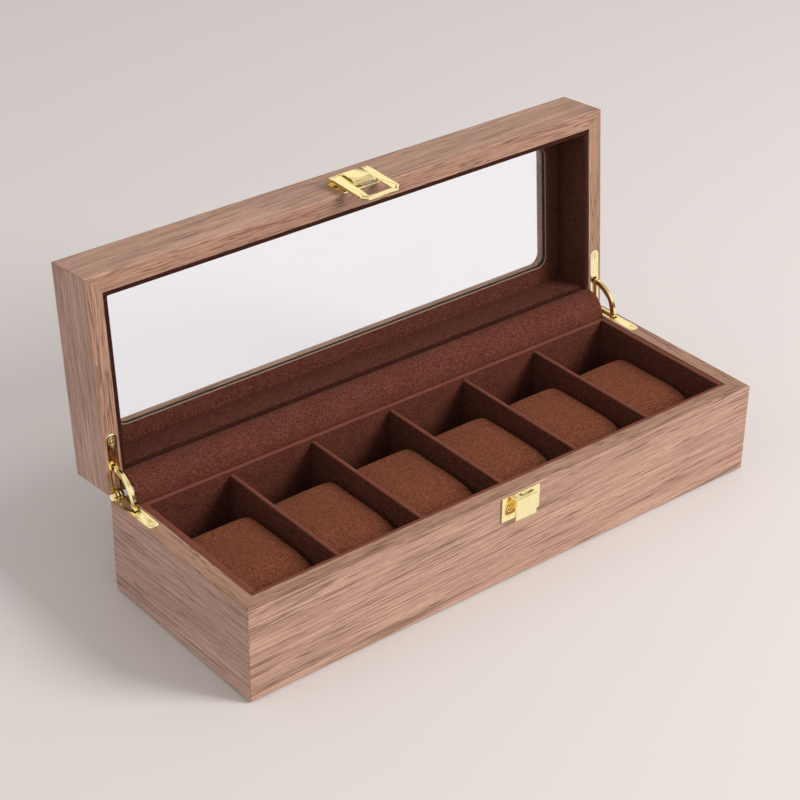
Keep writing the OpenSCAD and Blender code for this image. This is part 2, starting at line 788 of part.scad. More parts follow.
lid_window_frame();
lid_long_liner(-1, lid_liner_drop);  // lid_liner_front
lid_long_liner(1, lid_back_drop);  // lid_liner_back
lid_end_liner(-1);  // lid_liner_left
lid_end_liner(1);  // lid_liner_right
hinge_lid_leaf(-1);  // hinge_lid_leaf_left
hinge_lid_leaf(1);  // hinge_lid_leaf_right
hinge_lid_screws();
clasp_plate();
clasp_screws();
clasp_pin();
hasp();
hasp_spring();
stay(-1);  // stay_left
stay(1);  // stay_right
pillow(1);  // pillow_1
pillow(2);  // pillow_2
pillow(3);  // pillow_3
pillow(4);  // pillow_4
pillow(5);  // pillow_5
pillow(6);  // pillow_6
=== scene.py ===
import json
import math

import bmesh
import bpy
import numpy as np
from mathutils import Matrix, Vector, noise

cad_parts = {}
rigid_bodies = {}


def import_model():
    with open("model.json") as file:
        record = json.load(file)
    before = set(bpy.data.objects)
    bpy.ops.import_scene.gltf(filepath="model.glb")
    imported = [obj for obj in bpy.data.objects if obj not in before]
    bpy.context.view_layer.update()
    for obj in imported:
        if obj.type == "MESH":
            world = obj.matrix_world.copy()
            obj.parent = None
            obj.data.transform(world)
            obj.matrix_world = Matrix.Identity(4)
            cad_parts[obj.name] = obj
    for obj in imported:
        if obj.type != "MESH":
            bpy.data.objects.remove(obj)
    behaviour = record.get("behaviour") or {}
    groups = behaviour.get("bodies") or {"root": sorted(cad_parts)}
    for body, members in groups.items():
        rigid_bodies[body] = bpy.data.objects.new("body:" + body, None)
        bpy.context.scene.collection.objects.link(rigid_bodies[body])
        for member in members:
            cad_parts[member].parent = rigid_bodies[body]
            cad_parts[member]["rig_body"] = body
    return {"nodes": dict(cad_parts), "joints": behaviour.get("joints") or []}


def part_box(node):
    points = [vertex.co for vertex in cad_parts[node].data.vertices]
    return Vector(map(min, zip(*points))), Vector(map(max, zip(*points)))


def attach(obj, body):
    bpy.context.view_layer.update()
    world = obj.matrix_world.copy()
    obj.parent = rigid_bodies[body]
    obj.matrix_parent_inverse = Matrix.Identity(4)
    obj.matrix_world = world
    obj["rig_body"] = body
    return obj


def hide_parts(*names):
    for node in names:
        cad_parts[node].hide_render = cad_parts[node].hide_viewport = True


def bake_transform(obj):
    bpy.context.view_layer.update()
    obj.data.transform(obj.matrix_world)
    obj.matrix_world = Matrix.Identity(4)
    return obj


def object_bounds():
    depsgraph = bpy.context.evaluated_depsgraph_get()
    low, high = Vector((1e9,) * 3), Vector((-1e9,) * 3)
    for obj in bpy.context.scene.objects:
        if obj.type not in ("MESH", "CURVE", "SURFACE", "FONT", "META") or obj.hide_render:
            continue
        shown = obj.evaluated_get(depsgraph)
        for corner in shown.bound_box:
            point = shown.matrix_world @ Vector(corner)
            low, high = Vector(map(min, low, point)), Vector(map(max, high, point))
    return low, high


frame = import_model()
cadLow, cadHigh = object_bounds()
cadNodes = frame["nodes"]
mm = 0.001

# the turn about the hinge that shuts the open lid, and the one that opens it again
lidHinge = next(joint for joint in frame["joints"] if joint["name"] == "lid_hinge")
hingeAxis = Vector(lidHinge["pos_m"])
toAxis = Matrix.Translation(hingeAxis)
shutTurn = toAxis @ Matrix.Rotation(math.radians(-lidHinge["range_deg"][0]), 4, "X") @ toAxis.inverted()
openTurn = shutTurn.inverted()


def nodesOf(*starts):
    return [name for name in sorted(cadNodes) if name.startswith(starts)]


class Wire:
    # an output socket that can stand in a sum
    def __init__(self, tree, socket):
        self.tree = tree
        self.socket = socket

    def math(self, operation, first, second=0.0):
        return self.tree.add("ShaderNodeMath", {"operation": operation}, {0: first, 1: second})

    def __add__(self, other):
        return self.math("ADD", self, other)

    def __radd__(self, other):
        return self.math("ADD", other, self)

    def __sub__(self, other):
        return self.math("SUBTRACT", self, other)

    def __rsub__(self, other):
        return self.math("SUBTRACT", other, self)

    def __mul__(self, other):
        return self.math("MULTIPLY", self, other)

    def __rmul__(self, other):
        return self.math("MULTIPLY", other, self)

    def __neg__(self):
        return self.math("MULTIPLY", self, -1.0)

    def __abs__(self):
        return self.math("ABSOLUTE", self)

    def __truediv__(self, other):
        return self.math("DIVIDE", self, other)

    def __rtruediv__(self, other):
        return self.math("DIVIDE", other, self)

    def smallest(self, other):
        return self.math("MINIMUM", self, other)

    def sine(self):
        return self.math("SINE", self)

    def cosine(self):
        return self.math("COSINE", self)

    def between(self, low, high):
        # 0 below low, 1 above high, smooth between
        return self.tree.add("ShaderNodeMapRange", {"interpolation_type": "SMOOTHSTEP"},
                             {"Value": self, "From Min": low, "From Max": high})


class Tree:
    # builds the nodes of one shader or geometry tree
    def __init__(self, nodeTree):
        self.nodeTree = nodeTree

    def add(self, kind, settings=None, inputs=None, out=0):
        # a node with its settings, then the values or wires of its sockets; out is the output to go on from
        node = self.nodeTree.nodes.new(kind)
        for key, value in (settings or {}).items():
            if key == "stops":
                self.setStops(node.color_ramp, value)
            else:
                setattr(node, key, value)
        for key, value in (inputs or {}).items():
            if isinstance(value, Wire):
                self.nodeTree.links.new(value.socket, node.inputs[key])
            elif isinstance(value, list) and isinstance(value[0], Wire):
                for wire in value:
                    self.nodeTree.links.new(wire.socket, node.inputs[key])
            else:
                node.inputs[key].default_value = value
        return Wire(self, node.outputs[out]) if len(node.outputs) else node

    def setStops(self, ramp, stops):
        while len(ramp.elements) < len(stops):
            ramp.elements.new(0.5)
        for element, (position, colour) in zip(ramp.elements, stops):
            element.position = position
            element.color = (*colour, 1)

    def mix(self, share, first, second, blend="MIX"):
        asColour = [value if isinstance(value, Wire) else (*value, 1) for value in (first, second)]
        return self.add("ShaderNodeMix", {"data_type": "RGBA", "blend_type": blend},
                        {0: share, 6: asColour[0], 7: asColour[1]}, 2)

    def noise(self, place, scale, detail=2.0, roughness=0.5, out=0, seed=None):
        # out is 0 for one number and 1 for three
        inputs = {"Vector": place, "Scale": scale, "Detail": detail, "Roughness": roughness}
        if seed is None:
            return self.add("ShaderNodeTexNoise", {}, inputs, out)
        return self.add("ShaderNodeTexNoise", {"noise_dimensions": "4D"}, {**inputs, "W": seed}, out)

    def stretch(self, place, scale):
        return self.add("ShaderNodeVectorMath", {"operation": "MULTIPLY"}, {0: place, 1: scale})

    def drift(self, waves, amount):
        # three numbers of noise as a move to either side
        centred = self.add("ShaderNodeVectorMath", {"operation": "SUBTRACT"}, {0: waves, 1: (0.5, 0.5, 0.5)})
        return self.add("ShaderNodeVectorMath", {"operation": "SCALE"}, {0: centred, "Scale": amount})

    def bump(self, strength, distance, height):
        return self.add("ShaderNodeBump", {}, {"Strength": strength, "Distance": distance, "Height": height})


def newMaterial(name):
    material = bpy.data.materials.new(name)
    material.use_nodes = True
    material.node_tree.nodes.clear()
    return material, Tree(material.node_tree)


def newFinish(name):
    # a material with a pattern that keeps its place on the object
    material, tree = newMaterial(name)
    return material, tree, tree.add("ShaderNodeTexCoord", {}, {}, "Object")


def finishMaterial(tree, values):
    shader = tree.add("ShaderNodeBsdfPrincipled", {}, values)
    tree.add("ShaderNodeOutputMaterial", {}, {"Surface": shader})


# sizes of a pattern are its length and width along and across the grain;
# an edge is the stretch of noise over which a pattern comes in
walnutLook = {
    "light": (0.545, 0.327, 0.242),
    "middle": (0.385, 0.220, 0.156),
    "dark": (0.150, 0.074, 0.048),
    "slope": 2.0,                   # degrees between the grain and the board's edge
    "strayBy": 0.0018,              # how far the grain strays from straight
    "straySize": (0.07, 0.014),
    "bandSize": (0.16, 0.011),      # broad soft bands
    "bandEdge": (0.38, 0.66),
    "bandShare": 0.6,
    "fibreSize": (0.075, 0.0010),
    "fibreEdge": (0.42, 0.60),
    "fibreShare": 0.85,
    "lineSize": (0.075, 0.0012),    # fine dark lines
    "lineEdge": (0.010, 0.065),
    "lineShare": 0.76,
    "fadeSize": (0.045, 0.0045),    # stretches where the lines fade
    "fadeEdge": (0.16, 0.60),
    "poreSize": (0.008, 0.00040),   # short dark dashes
    "poreEdge": (0.30, 0.42),
    "poreShare": 0.38,
    "cloudScale": 16.0,             # patches that are a little lighter or darker
    "cloudLow": 0.94,
    "cloudSpan": 0.12,
    "rimTint": (0.84, 0.80, 0.76),  # the rims where the box opens are painted darker: painted shade
    "rimBelow": 0.02 * mm,
    "rimAbove": 0.32 * mm,
    "rimBlend": 0.25 * mm,
    "poreDepth": 0.00011,
    "fibreRelief": 0.25,            # this and the next are shares of a pore's depth
    "lineRelief": 0.7,
    "roughness": 0.46,
    "poreRoughness": 0.2,
    "lineRoughness": 0.08,
}
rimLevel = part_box("base_left_wall")[1].z    # where the box opens


def walnut(name, along, offset, onLid=False):
    # along is 0 where the grain runs in X and 1 where it runs in Y, on the shut box
    look = walnutLook
    material, tree, place = newFinish(name)
    if onLid:
        place = tree.add("ShaderNodeMapping", {}, {
            "Vector": place, "Location": shutTurn.translation, "Rotation": shutTurn.to_euler()})
    slope = math.radians(look["slope"])
    board = tree.add("ShaderNodeMapping", {}, {
        "Vector": place, "Location": offset, "Rotation": (slope, 0, 0) if along else (0, slope, 0)})

    def grain(at, size, detail=2.0, roughness=0.5, out=0):
        # noise drawn out along the grain
        length, width = size
        scale = [1 / width] * 3
        scale[along] = 1 / length
        return tree.noise(tree.stretch(at, tuple(scale)), 1.0, detail, roughness, out)

    stray = tree.drift(grain(board, look["straySize"], out=1), look["strayBy"])
    bent = tree.add("ShaderNodeVectorMath", {"operation": "ADD"}, {0: board, 1: stray})
    bands = grain(bent, look["bandSize"])
    fibres = grain(bent, look["fibreSize"], 2.0, 0.6)
    contour = grain(bent, look["lineSize"], 1.0)
    faded = grain(bent, look["fadeSize"], 1.0)
    lines = (1 - abs(contour - 0.5).between(*look["lineEdge"])) * faded.between(*look["fadeEdge"])
    pores = 1 - grain(bent, look["poreSize"], 1.0).between(*look["poreEdge"])
    clouds = tree.noise(board, look["cloudScale"])

    colour = tree.mix(bands.between(*look["bandEdge"]) * look["bandShare"], look["light"], look["middle"])
    colour = tree.mix(fibres.between(*look["fibreEdge"]) * look["fibreShare"], colour, look["middle"])
    colour = tree.mix(lines * look["lineShare"], colour, look["dark"])
    colour = tree.mix(pores * look["poreShare"], colour, look["dark"])
    tone = look["cloudLow"] + clouds * look["cloudSpan"]
    shade = tree.add("ShaderNodeCombineColor", {}, {0: tone, 1: tone, 2: tone})
    colour = tree.mix(1.0, colour, shade, "MULTIPLY")

    # painted shade: a band at the rims where the box opens is darkened by the rim tint
    height = tree.add("ShaderNodeSeparateXYZ", {}, {"Vector": place}, 2)
    low, high, blend = rimLevel - look["rimBelow"], rimLevel + look["rimAbove"], look["rimBlend"]
    rim = height.between(low - blend, low) * (1 - height.between(high, high + blend))
    colour = tree.mix(rim, colour, tree.mix(1.0, colour, look["rimTint"], "MULTIPLY"))

    relief = fibres * -look["fibreRelief"] - pores - lines * look["lineRelief"]
    finishMaterial(tree, {
        "Base Color": colour,
        "Roughness": look["roughness"] + pores * look["poreRoughness"] + lines * look["lineRoughness"],
        "Normal": tree.bump(0.6, look["poreDepth"], relief),
        "Specular IOR Level": 0.35, "Coat Weight": 0.06, "Coat Roughness": 0.30})
    return material


suedeLook = {
    "napSize": 0.0008,
    "napEdge": (0.42, 0.60),
    "napShare": 0.76,
    "napDepth": 0.00018,
    "tuftSize": 0.0032,
    "tuftEdge": (0.40, 0.64),
    "tuftShare": 0.16,
    "tuftRelief": 1.5,      # against the nap's
    "brushSize": 0.016,
    "brushEdge": (0.3, 0.8),
    "brushShare": 0.10,
    # the two colours of the nap, then how far a rim takes a third colour: on the base's lining a paler rim,
    # partly lighter nap and partly painted highlight; on the lid's lining a darker rim
    "lining": ((0.052, 0.0142, 0.0096), (0.144, 0.0440, 0.0285), 0.90, (0.185, 0.060, 0.040)),
    "lidLining": ((0.046, 0.0125, 0.0085), (0.130, 0.040, 0.026), 0.70, (0.017, 0.0055, 0.0042)),
    "pillow": ((0.1056, 0.0296, 0.0148), (0.2400, 0.0798, 0.0422)),
    "hingeCloth": ((0.070, 0.019, 0.0125), (0.165, 0.053, 0.034)),
}


def suede(name, deep, pale, rimShare=0.0, rimColour=None):
    # short brushed nap: light and dark fibres, and patches where it lies the other way
    look = suedeLook
    material, tree, place = newFinish(name)
    nap = tree.noise(place, 1 / look["napSize"], 3.0, 0.7)
    tufts = tree.noise(place, 1 / look["tuftSize"], 2.0, 0.6)
    brushed = tree.noise(place, 1 / look["brushSize"], 3.0, 0.55)
    share = (nap.between(*look["napEdge"]) * look["napShare"]
             + tufts.between(*look["tuftEdge"]) * look["tuftShare"]
             + brushed.between(*look["brushEdge"]) * look["brushShare"])
    colour = tree.mix(share, deep, pale)
    # the rim colour: on the base's lining paler, partly lighter nap and partly painted highlight; on the
    # lid's lining darker
    if rimShare:
        rim = tree.add("ShaderNodeAttribute", {"attribute_name": "rim"}, {}, "Fac")
        colour = tree.mix(rim * rimShare, colour, rimColour)
    finishMaterial(tree, {
        "Base Color": colour, "Roughness": 0.93,
        "Normal": tree.bump(0.8, look["napDepth"], nap + tufts * look["tuftRelief"]),
        "Specular IOR Level": 0.15, "Sheen Weight": 0.10, "Sheen Roughness": 0.40,
        "Sheen Tint": (0.80, 0.38, 0.24, 1)})
    return material


brassLook = {
    "bright": ((0.99, 0.85, 0.44), 0.12),   # colour and roughness
    "spring": ((0.95, 0.88, 0.66), 0.14),
    "hazeScale": 420.0,
    "hazeEdge": (0.40, 0.7),
    "hazeShare": 0.6,
    "hazeDark": 0.90,
    "hazeRoughness": 0.08,
    "waveScale": 120.0,     # pressed sheet is a little uneven
    "waveDepth": 0.00012,
}


def brass(name, colour, roughness):
    # bright plating over pressed sheet, here and there hazy
    look = brassLook
    material, tree, place = newFinish(name)
    waves = tree.noise(place, look["waveScale"], 1.0)
    haze = tree.noise(place, look["hazeScale"], 3.0)
    dulled = haze.between(*look["hazeEdge"]) * look["hazeShare"]
    finishMaterial(tree, {
        "Base Color": tree.mix(dulled, colour, [look["hazeDark"] * value for value in colour]),
        "Metallic": 1.0, "Roughness": roughness + haze * look["hazeRoughness"],
        "Normal": tree.bump(0.35, look["waveDepth"], waves)})
    return material


glassLook = {
    "colour": (0.96, 0.96, 0.98),
    "smearScale": (30, 30, 60),
    "smearEdge": (0.5, 0.8),
    "smearRoughness": 0.002,
    "alpha": 0.4,           # the rest lets light straight into the box
}


def glass(name):
    look = glassLook
    material, tree, place = newFinish(name)
    smears = tree.noise(tree.stretch(place, look["smearScale"]), 1.0, 3.0)
    finishMaterial(tree, {
        "Base Color": (*look["colour"], 1),
        "Roughness": smears.between(*look["smearEdge"]) * look["smearRoughness"],
        "Transmission Weight": 1.0, "IOR": 1.02, "Coat Weight": 0.18, "Coat Roughness": 0.02,
        "Alpha": look["alpha"]})
    return material


trimLook = {
    "bead": ((0.018, 0.014, 0.013), 0.5),   # colour and roughness
    "card": ((0.30, 0.20, 0.15), 0.8),
    "mottleScale": 300.0,
    "mottleShare": 0.5,
    "mottleDark": 0.7,
}


def mottled(name, colour, roughness):
    look = trimLook
    material, tree, place = newFinish(name)
    mottle = tree.noise(place, look["mottleScale"])
    darker = [look["mottleDark"] * value for value in colour]
    finishMaterial(tree, {
        "Base Color": tree.mix(mottle * look["mottleShare"], colour, darker), "Roughness": roughness})
    return material


feltLook = {
    "deep": (0.010, 0.009, 0.009),
    "pale": (0.045, 0.040, 0.040),
    "fibreScale": 1400.0,
    "fibreDepth": 0.0002,
}


def felt(name):
    look = feltLook
    material, tree, place = newFinish(name)
    fibres = tree.noise(place, look["fibreScale"], 3.0, 0.7)
    finishMaterial(tree, {
        "Base Color": tree.mix(fibres, look["deep"], look["pale"]), "Roughness": 0.95,
        "Normal": tree.bump(0.8, look["fibreDepth"], fibres), "Sheen Weight": 0.3})
    return material


print("stage: materials")
liningSuede = suede("liningSuede", *suedeLook["lining"])
lidSuede = suede("lidSuede", *suedeLook["lidLining"])
pillowSuede = suede("pillowSuede", *suedeLook["pillow"])
hingeSuede = suede("hingeSuede", *suedeLook["hingeCloth"])
brightBrass = brass("brightBrass", *brassLook["bright"])
springMetal = brass("springMetal", *brassLook["spring"])
darkBead = mottled("darkBead", *trimLook["bead"])
paleCard = mottled("paleCard", *trimLook["card"])

# the CAD pieces that stay as they are; each board is cut from its own place in the plank
finishOf = {
    "base_front_wall": walnut("walnutBaseFront", 0, (0, 0, 0)),
    "base_back_wall": walnut("walnutBaseBack", 0, (1.3, 0, 0.2)),
    "base_left_wall": walnut("walnutBaseLeft", 1, (2.1, 0.4, 0)),
    "base_right_wall": walnut("walnutBaseRight", 1, (2.9, 0.1, 0.5)),
    "base_bottom_panel": walnut("walnutBottom", 0, (0, 3.1, 0.7)),
    "lid_front_wall": walnut("walnutLidFront", 0, (0.7, 1.9, 0), onLid=True),
    "lid_back_wall": walnut("walnutLidBack", 0, (1.9, 2.3, 0.3), onLid=True),
    "lid_left_wall": walnut("walnutLidLeft", 1, (3.7, 0, 1.1), onLid=True),
    "lid_right_wall": walnut("walnutLidRight", 1, (4.3, 0.6, 1.7), onLid=True),
    "lid_top_panel": walnut("walnutLidTop", 0, (5.1, 0.9, 2.3), onLid=True),
    "lid_glass": glass("windowGlass"),
    "lid_window_frame": liningSuede,
    "liner_floor": liningSuede,
    "base_felt": felt("blackFelt"),
    "hinge_pin_left": brightBrass,
    "hinge_pin_right": brightBrass,
    "clasp_pin": brightBrass,
}
for name, material in finishOf.items():
    slots = cadNodes[name].data.materials
    slots.clear()
    slots.append(material)


def newGeometry(name, sizes):
    # a geometry tree with one named number for each size
    nodeTree = bpy.data.node_groups.new(name, "GeometryNodeTree")
    nodeTree.interface.new_socket("Start", in_out="INPUT", socket_type="NodeSocketGeometry")
    nodeTree.interface.new_socket("Geometry", in_out="OUTPUT", socket_type="NodeSocketGeometry")
    for size, value in sizes.items():
        kind = "NodeSocketInt" if isinstance(value, int) else "NodeSocketFloat"
        nodeTree.interface.new_socket(size, in_out="INPUT", socket_type=kind).default_value = value
    tree = Tree(nodeTree)
    source = nodeTree.nodes.new("NodeGroupInput")
    return tree, {socket.name: Wire(tree, socket) for socket in source.outputs if socket.name}


def endGeometry(tree, shape, material):
    real = tree.add("GeometryNodeRealizeInstances", {}, {"Geometry": shape})
    painted = tree.add("GeometryNodeSetMaterial", {}, {"Geometry": real, "Material": material})
    tree.add("NodeGroupOutput", {}, {"Geometry": painted})
    return tree


def addObject(name, data):
    thing = bpy.data.objects.new(name, data)
    bpy.context.collection.objects.link(thing)
    return thing


def plainMesh(thing):
    # what the modifiers make of it, as an ordinary mesh
    bpy.context.view_layer.update()
    graph = bpy.context.evaluated_depsgraph_get()
    mesh = bpy.data.meshes.new_from_object(thing.evaluated_get(graph))
    thing.modifiers.clear()
    thing.data = mesh
    return thing


def grow(name, tree, values, start=None, thickness=0.0):
    # what a geometry tree makes with these sizes; the others stay as the tree has them
    thing = addObject(name, start or bpy.data.meshes.new(name + "Start"))
    modifier = thing.modifiers.new("shape", "NODES")
    modifier.node_group = tree.nodeTree
    for item in tree.nodeTree.interface.items_tree:
        if item.in_out == "INPUT" and item.name in values:
            modifier[item.identifier] = values[item.name]
    if thickness:
        solid = thing.modifiers.new("thickness", "SOLIDIFY")
        solid.thickness = thickness
        solid.offset = 0.0
    return plainMesh(thing)


def moved(thing, matrix):
    # its place goes into its mesh
    thing.data.transform(matrix)
    thing.data.update()
    return thing


def joined(name, things, material):
    # one object from several
    shape = bmesh.new()
    for thing in things:
        shape.from_mesh(thing.data)
        bpy.data.objects.remove(thing)
    mesh = bpy.data.meshes.new(name)
    shape.to_mesh(mesh)
    shape.free()
    mesh.materials.append(material)
    return addObject(name, mesh)


def smooth(thing, degrees):
    thing.data.shade_smooth()
    thing.data.set_sharp_from_angle(angle=math.radians(degrees))
    return thing


def pointsOf(name, turn=Matrix.Identity(4)):
    return np.array([turn @ corner.co for corner in cadNodes[name].data.vertices])


def shutBox(name):
    # the box of a lid piece as it lies when the lid is shut
    points = pointsOf(name, shutTurn)
    return Vector(points.min(0)), Vector(points.max(0))


boardLook = {
    "edge": 0.0009,         # how round the wrapped edges are
    "mostEdge": 0.45,       # and the most of the thickness that they may take
    "edgeSteps": 5,
    "step": 0.003,          # between the rings of points along a board
    "ripple": 0.00010,      # unevenness of the cloth along an edge
    "ripplePitch": 0.007,
    "rimDepth": 0.0007,     # how far down from the top edge the rim colour reaches
    "rimBlend": 0.7,        # the share of that depth over which the rim colour comes in
    "smooth": 40,           # degrees
    "dividerSeed": 1.7,
    "baseSeed": 3.1,
    "lidSeed": 8.3,
}


def boardTree(material):
    # a row of boards, each wrapped in cloth; they stand on z = 0 and run along Y
    look = boardLook
    tree, size = newGeometry("coveredBoards", {
        "Length": 0.09, "Thickness": 0.0025, "Height": 0.04, "Edge": look["edge"], "Count": 1, "Pitch": 0.05,
        "Ripple": look["ripple"], "Ripple Pitch": look["ripplePitch"], "Rim Depth": look["rimDepth"],
        "Seed": 0.0})
    section = tree.add("GeometryNodeCurvePrimitiveQuadrilateral", {"mode": "RECTANGLE"},
                       {"Width": size["Thickness"], "Height": size["Height"]})
    section = tree.add("GeometryNodeFilletCurve", {"mode": "POLY"}, {
        "Curve": section, "Radius": size["Edge"], "Count": look["edgeSteps"], "Limit Radius": True})
    half = size["Length"] * 0.5
    start = tree.add("ShaderNodeCombineXYZ", {}, {"Y": -half})
    end = tree.add("ShaderNodeCombineXYZ", {}, {"Y": half})
    path = tree.add("GeometryNodeCurvePrimitiveLine", {}, {"Start": start, "End": end})
    path = tree.add("GeometryNodeResampleCurve", {"mode": "LENGTH"}, {"Curve": path, "Length": look["step"]})
    board = tree.add("GeometryNodeCurveToMesh", {},
                     {"Curve": path, "Profile Curve": section, "Fill Caps": True})
    up = tree.add("ShaderNodeCombineXYZ", {}, {"Z": size["Height"] * 0.5})
    board = tree.add("GeometryNodeTransform", {}, {"Geometry": board, "Translation": up})
    step = tree.add("ShaderNodeCombineXYZ", {}, {"X": size["Pitch"]})
    row = tree.add("GeometryNodeMeshLine", {"mode": "OFFSET"}, {"Count": size["Count"], "Offset": step})
    row = tree.add("GeometryNodeInstanceOnPoints", {}, {"Points": row, "Instance": board})
    row = tree.add("GeometryNodeRealizeInstances", {}, {"Geometry": row})
    spot = tree.add("GeometryNodeInputPosition")
    level = tree.add("ShaderNodeSeparateXYZ", {}, {"Vector": spot}, 2)
    # rim marks the top edge, where the base's lining is painted paler, partly lighter nap and partly painted
    # highlight
    depth = size["Rim Depth"]
    rim = level.between(size["Height"] - depth, size["Height"] - depth * (1 - look["rimBlend"]))
    row = tree.add("GeometryNodeStoreNamedAttribute", {"data_type": "FLOAT", "domain": "POINT"},
                   {"Geometry": row, "Name": "rim", "Value": rim})
    waves = tree.noise(spot, 1 / size["Ripple Pitch"], out=1, seed=size["Seed"])
    ripples = tree.drift(waves, size["Ripple"] * rim * 2.0)
    row = tree.add("GeometryNodeSetPosition", {}, {"Geometry": row, "Offset": ripples})
    return endGeometry(tree, row, material)


def coveredBoard(tree, low, high, lengthwise, seed, count=1, pitch=0.0, hanging=False):
    # fills the box from low to high; lengthwise is 0 where the board runs in X
    size = high - low
    thick = size[1 - lengthwise]
    board = grow("board", tree, {
        "Length": size[lengthwise], "Thickness": thick, "Height": size.z,
        "Edge": min(boardLook["edge"], thick * boardLook["mostEdge"]),
        "Count": count, "Pitch": pitch, "Seed": seed})
    where = Matrix.Translation(((low.x + high.x) / 2, (low.y + high.y) / 2, high.z if hanging else low.z))
    if hanging:
        where = where @ Matrix.Rotation(math.pi, 4, "Y")
    if lengthwise == 0:
        where = where @ Matrix.Rotation(math.pi / 2, 4, "Z")
    return moved(board, where)


def lining(name, tree, material, boxes, seed, hanging=False):
    # four boards along the walls, from boxes in the order front, back, left, right
    return joined(name, [
        coveredBoard(tree, low, high, lengthwise, seed + index, hanging=hanging)
        for index, ((low, high), lengthwise) in enumerate(zip(boxes, (0, 0, 1, 1)))], material)


print("stage: covered boards")
boards = boardTree(liningSuede)
firstLow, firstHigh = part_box("divider_1")
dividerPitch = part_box("divider_2")[0].x - firstLow.x
dividers = coveredBoard(
    boards, firstLow, firstHigh, 1, boardLook["dividerSeed"], len(nodesOf("divider")), dividerPitch)
dividers = joined("dividerRow", [dividers], liningSuede)
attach(smooth(dividers, boardLook["smooth"]), "base")
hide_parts(*nodesOf("divider"))

baseBoards = ["liner_front", "liner_back", "liner_left", "liner_right"]
baseLining = lining("baseLining", boards, liningSuede, [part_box(name) for name in baseBoards],
                    boardLook["baseSeed"])
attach(smooth(baseLining, boardLook["smooth"]), "base")
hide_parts(*baseBoards)

lidBoards = ["lid_liner_front", "lid_liner_back", "lid_liner_left", "lid_liner_right"]
lidLining = lining("lidLining", boardTree(lidSuede), lidSuede, [shutBox(name) for name in lidBoards],
                   boardLook["lidSeed"], hanging=True)
moved(lidLining, openTurn)
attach(smooth(lidLining, boardLook["smooth"]), "lid")
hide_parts(*lidBoards)

clothLook = {
    "thickness": 0.0005,
    "gridAlong": 260,
    "gridAcross": 34,
    "fold": 0.00055,         # depth of the soft folds across the strip
    "foldPitch": 0.016,      # spacing of the folds along the box
    "foldSlant": 0.010,      # how far a fold shifts along the box on its way across
    "foldAcross": 1.3,
    "lift": 0.0004,          # unevenness of the strip as a whole
    "liftAlong": 18.0,
    "liftAcross": 2.2,
    "reach": 0.0030,         # how far its ends pass the lining, to the wooden walls
    "blend": 0.014,          # half the way over which it passes from the base to the lid
    "seed": 4.0,
    "liftSeed": 7.0,
}


def clothTree():
    # a strip bowed about the hinge's axis, from the base's lining to the lid's
    look = clothLook
    tree, size = newGeometry("hingeCloth", {
        "Length": 0.3, "Radius": 0.011, "Low Angle": -0.1, "High Angle": 1.8, "Fold": look["fold"],
        "Fold Pitch": look["foldPitch"], "Lift": look["lift"], "Seed": look["seed"]})
    sheet = tree.add("GeometryNodeMeshGrid", {}, {
        "Size X": size["Length"], "Size Y": 1.0,
        "Vertices X": look["gridAlong"], "Vertices Y": look["gridAcross"]})
    spot = tree.add("GeometryNodeInputPosition")
    along = tree.add("ShaderNodeSeparateXYZ", {}, {"Vector": spot}, 0)
    share = tree.add("ShaderNodeSeparateXYZ", {}, {"Vector": spot}, 1) + 0.5
    held = (share * math.pi).sine()      # 0 where the strip is glued, 1 in its middle
    angle = size["Low Angle"] + (size["High Angle"] - size["Low Angle"]) * share
    slant = along + (share - 0.5) * look["foldSlant"]
    foldSpot = tree.add("ShaderNodeCombineXYZ", {}, {
        "X": slant / size["Fold Pitch"], "Y": share * look["foldAcross"]})
    folds = tree.noise(foldSpot, 1.0, seed=size["Seed"])
    liftSpot = tree.add("ShaderNodeCombineXYZ", {}, {
        "X": along * look["liftAlong"], "Y": share * look["liftAcross"]})
    lifts = tree.noise(liftSpot, 1.0, 1.0, seed=size["Seed"] + look["liftSeed"])
    radius = size["Radius"] + held * ((folds - 0.5) * size["Fold"] * 2.0 + (lifts - 0.5) * size["Lift"] * 2.0)
    bowed = tree.add("ShaderNodeCombineXYZ", {}, {
        "X": along, "Y": -(radius * angle.cosine()), "Z": radius * angle.sine()})
    sheet = tree.add("GeometryNodeSetPosition", {}, {"Geometry": sheet, "Position": bowed})
    return endGeometry(tree, sheet, hingeSuede)


print("stage: hinge cloth")
clothLow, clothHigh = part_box("hinge_cloth")
cadCloth = pointsOf("hinge_cloth") - np.array(hingeAxis)
cadAngles = np.arctan2(cadCloth[:, 2], -cadCloth[:, 1])
cadRadii = np.hypot(cadCloth[:, 1], cadCloth[:, 2])
middleRadius = float(cadRadii.min() + cadRadii.max()) / 2
lowAngle, highAngle = float(cadAngles.min()), float(cadAngles.max())
clothLength = clothHigh.x - clothLow.x + 2 * clothLook["reach"]
hingeCloth = grow("hingeCloth", clothTree(), {
    "Length": clothLength, "Radius": middleRadius, "Low Angle": lowAngle, "High Angle": highAngle},
    thickness=clothLook["thickness"])
moved(hingeCloth, Matrix.Translation(hingeAxis))
hingeCloth.data.shade_smooth()
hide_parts("hinge_cloth")
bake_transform(hingeCloth)

